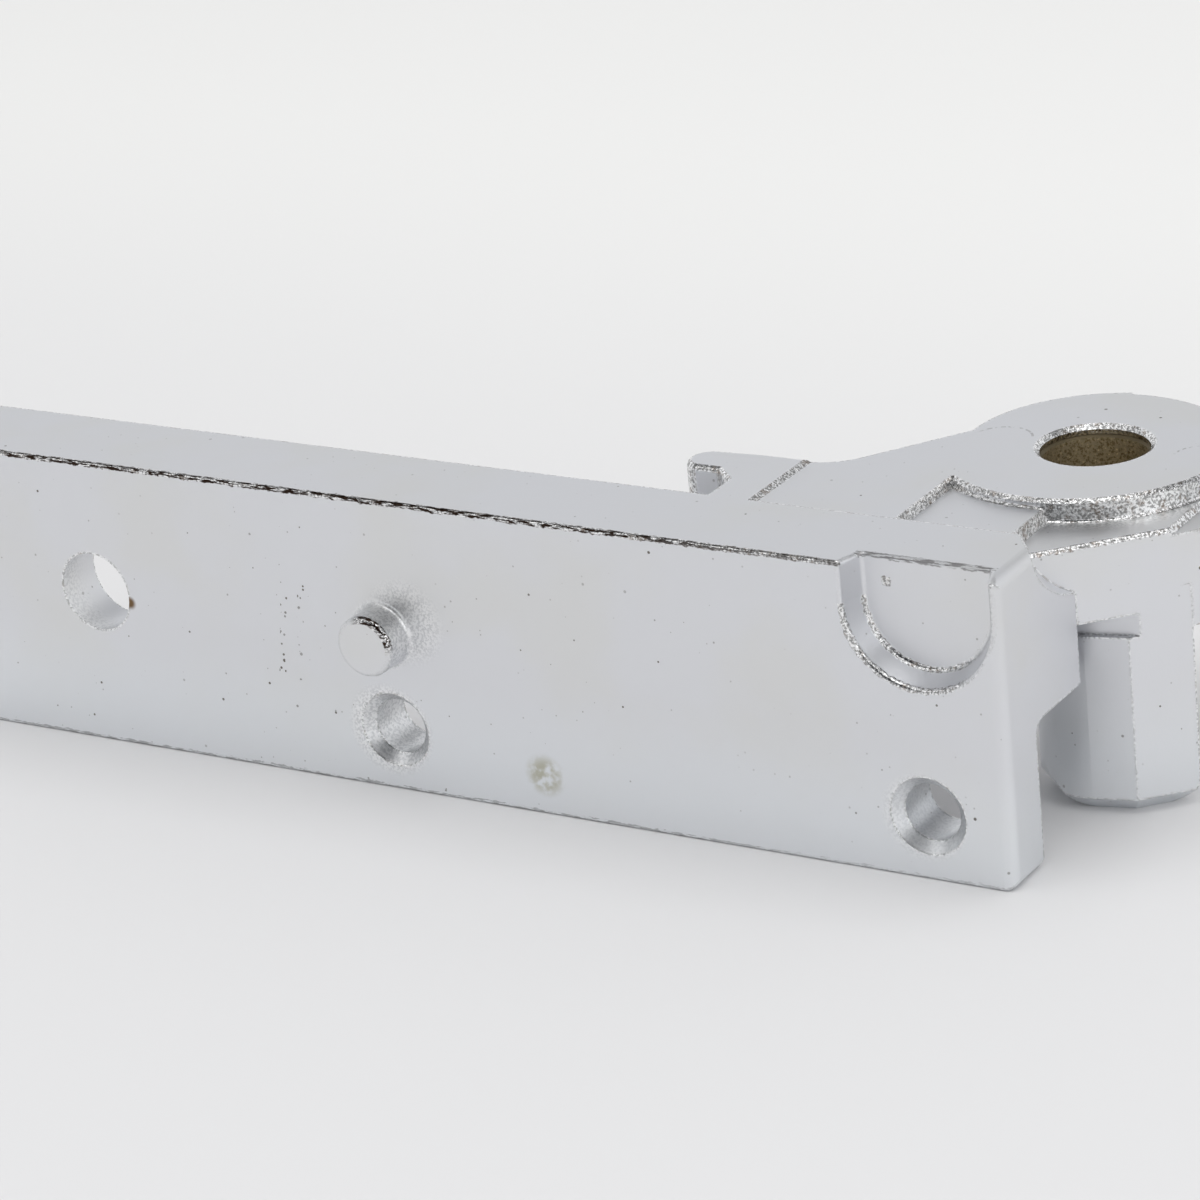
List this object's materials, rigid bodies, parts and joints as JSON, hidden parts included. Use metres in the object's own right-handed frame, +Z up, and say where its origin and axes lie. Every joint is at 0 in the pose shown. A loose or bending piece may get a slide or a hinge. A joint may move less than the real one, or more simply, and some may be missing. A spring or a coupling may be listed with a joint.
{
  "type": "refrigerator door hinge",
  "caption": "Die-cast refrigerator door hinge: a flat mounting plate with screw holes and a locating peg, and a side arm with a bushed pivot eye and a stop post.",
  "frame": {"origin": "centre of the pivot bush, on the pivot axis", "axes": "+Z up along the pivot axis, X along the mounting plate with its free end towards +X, -Y out of the mounting face"},
  "size_m": [0.1333, 0.052, 0.03],
  "materials": {
    "plated_casting": "satin plated zinc die casting",
    "sintered_bronze": "oil-soaked sintered bronze"
  },
  "bodies": {
    "root": {"hinge_bracket": "plated_casting", "pivot_bush": "sintered_bronze"}
  },
  "joints": []
}
